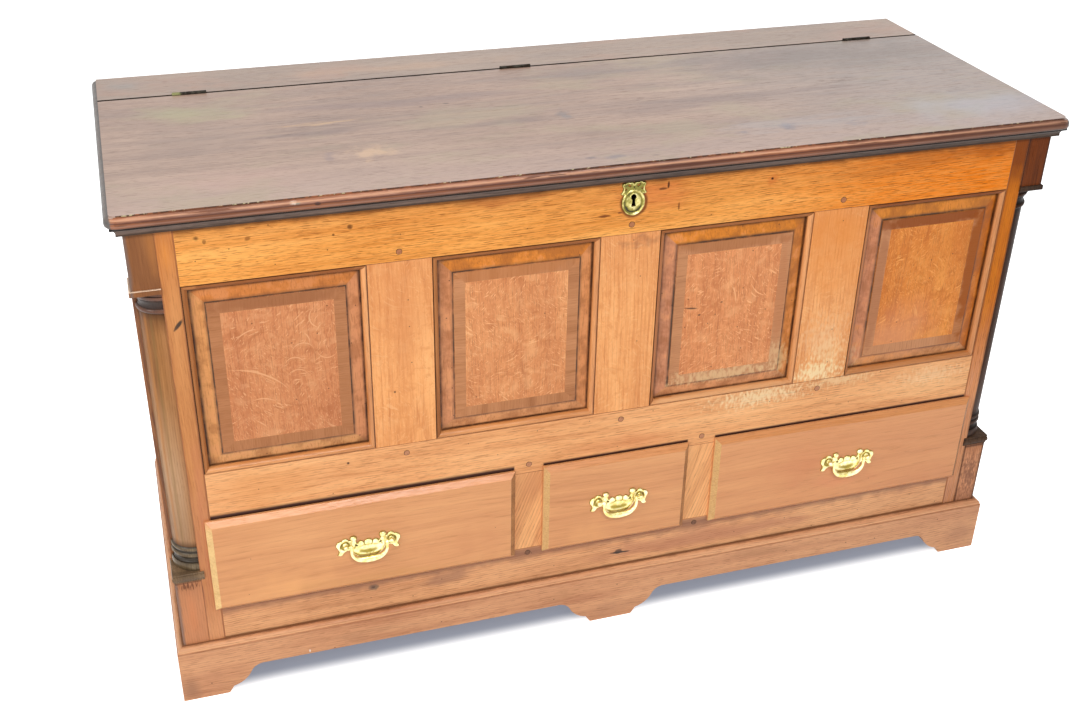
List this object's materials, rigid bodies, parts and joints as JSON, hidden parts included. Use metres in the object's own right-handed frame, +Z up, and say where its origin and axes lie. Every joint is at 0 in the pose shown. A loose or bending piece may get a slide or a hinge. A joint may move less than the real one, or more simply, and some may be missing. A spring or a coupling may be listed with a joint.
{
  "type": "mule chest",
  "caption": "Low framed and panelled oak chest with a lifting lid over a deep well, drawers below, quarter columns at the corners and bracket feet.",
  "frame": {"origin": "middle of the bounding box on the floor", "axes": "+X across the front to the viewer's right, +Y to the back, +Z up"},
  "size_m": [1.482, 0.5802, 0.859],
  "materials": {
    "oak_frame": "waxed golden-brown oak, satin",
    "oak_panel": "waxed quarter-sawn oak, satin",
    "oak_drawer": "waxed oak, satin",
    "oak_moulding": "waxed oak with dirt in the quirks",
    "oak_top": "polished dark oak with stains, satin",
    "oak_plinth": "waxed oak, worn on the bead",
    "oak_peg": "dark end grain",
    "mahogany_column": "dark polished",
    "mahogany_block": "polished",
    "mahogany_banding": "polished veneer",
    "dark_moulding": "dark grimed moulding",
    "raw_oak": "dry, unfinished",
    "brass": "pale polished brass with tarnish in the hollows",
    "iron": "dull dark iron"
  },
  "bodies": {
    "root": {"back_boards": "raw_oak", "back_rails": "raw_oak", "chest_floor_boards": "raw_oak", "column_blocks": "mahogany_block", "corner_post_left": "oak_frame", "corner_post_right": "oak_frame", "cornice_front": "dark_moulding", "cornice_returns": "dark_moulding", "drawer_muntin_left": "oak_frame", "drawer_muntin_right": "oak_frame", "drawer_runners": "raw_oak", "escutcheon": "brass", "front_bottom_rail": "oak_frame", "front_middle_rail": "oak_frame", "front_muntin_1": "oak_frame", "front_muntin_2": "oak_frame", "front_muntin_3": "oak_frame", "front_panel_1": "oak_panel", "front_panel_2": "oak_panel", "front_panel_3": "oak_panel", "front_panel_4": "oak_panel", "front_top_rail": "oak_frame", "hinge_leaves_fixed": "iron", "hinge_pins": "iron", "hinge_screws_fixed": "iron", "joint_pegs": "oak_peg", "lock_case": "iron", "panel_crossbanding": "mahogany_banding", "panel_mouldings": "oak_moulding", "plinth_blocks": "raw_oak", "plinth_front": "oak_plinth", "plinth_left": "oak_plinth", "plinth_right": "oak_plinth", "quarter_column_left": "mahogany_column", "quarter_column_right": "mahogany_column", "rear_post_left": "oak_frame", "rear_post_right": "oak_frame", "side_muntins": "oak_frame", "side_panels_left": "oak_panel", "side_panels_right": "oak_panel", "side_rails_left": "oak_frame", "side_rails_right": "oak_frame", "top_back_board": "oak_top"},
    "lid": {"lid_board": "oak_top", "hinge_leaves_lid": "iron", "hinge_screws_lid": "iron", "lock_strike": "iron"},
    "lock_bolt": {"lock_bolt": "iron"},
    "drawer_left": {"drawer_left_front": "oak_drawer", "drawer_left_box": "raw_oak", "handle_left_backplate": "brass"},
    "bail_left": {"bail_left": "brass"},
    "drawer_centre": {"drawer_centre_front": "oak_drawer", "drawer_centre_box": "raw_oak", "handle_centre_backplate": "brass"},
    "bail_centre": {"bail_centre": "brass"},
    "drawer_right": {"drawer_right_front": "oak_drawer", "drawer_right_box": "raw_oak", "handle_right_backplate": "brass"},
    "bail_right": {"bail_right": "brass"}
  },
  "joints": [
    {"name": "lid_hinge", "type": "hinge", "parent": "root", "child": "lid", "pos_m": [0, 0.1806, 0.8555], "axis": [-1, 0, 0], "range_deg": [0, 105]},
    {"name": "bolt_slide", "type": "slide", "parent": "root", "child": "lock_bolt", "axis": [1, 0, 0], "range_m": [0, 0.008]},
    {"name": "drawer_left_slide", "type": "slide", "parent": "root", "child": "drawer_left", "axis": [0, -1, 0], "range_m": [0, 0.32]},
    {"name": "bail_left_swing", "type": "hinge", "parent": "drawer_left", "child": "bail_left", "pos_m": [-0.41925, -0.2859, 0.259], "axis": [-1, 0, 0], "range_deg": [0, 90]},
    {"name": "drawer_centre_slide", "type": "slide", "parent": "root", "child": "drawer_centre", "axis": [0, -1, 0], "range_m": [0, 0.32]},
    {"name": "bail_centre_swing", "type": "hinge", "parent": "drawer_centre", "child": "bail_centre", "pos_m": [0.003, -0.2859, 0.259], "axis": [-1, 0, 0], "range_deg": [0, 90]},
    {"name": "drawer_right_slide", "type": "slide", "parent": "root", "child": "drawer_right", "axis": [0, -1, 0], "range_m": [0, 0.32]},
    {"name": "bail_right_swing", "type": "hinge", "parent": "drawer_right", "child": "bail_right", "pos_m": [0.42825, -0.2859, 0.259], "axis": [-1, 0, 0], "range_deg": [0, 90]}
  ]
}
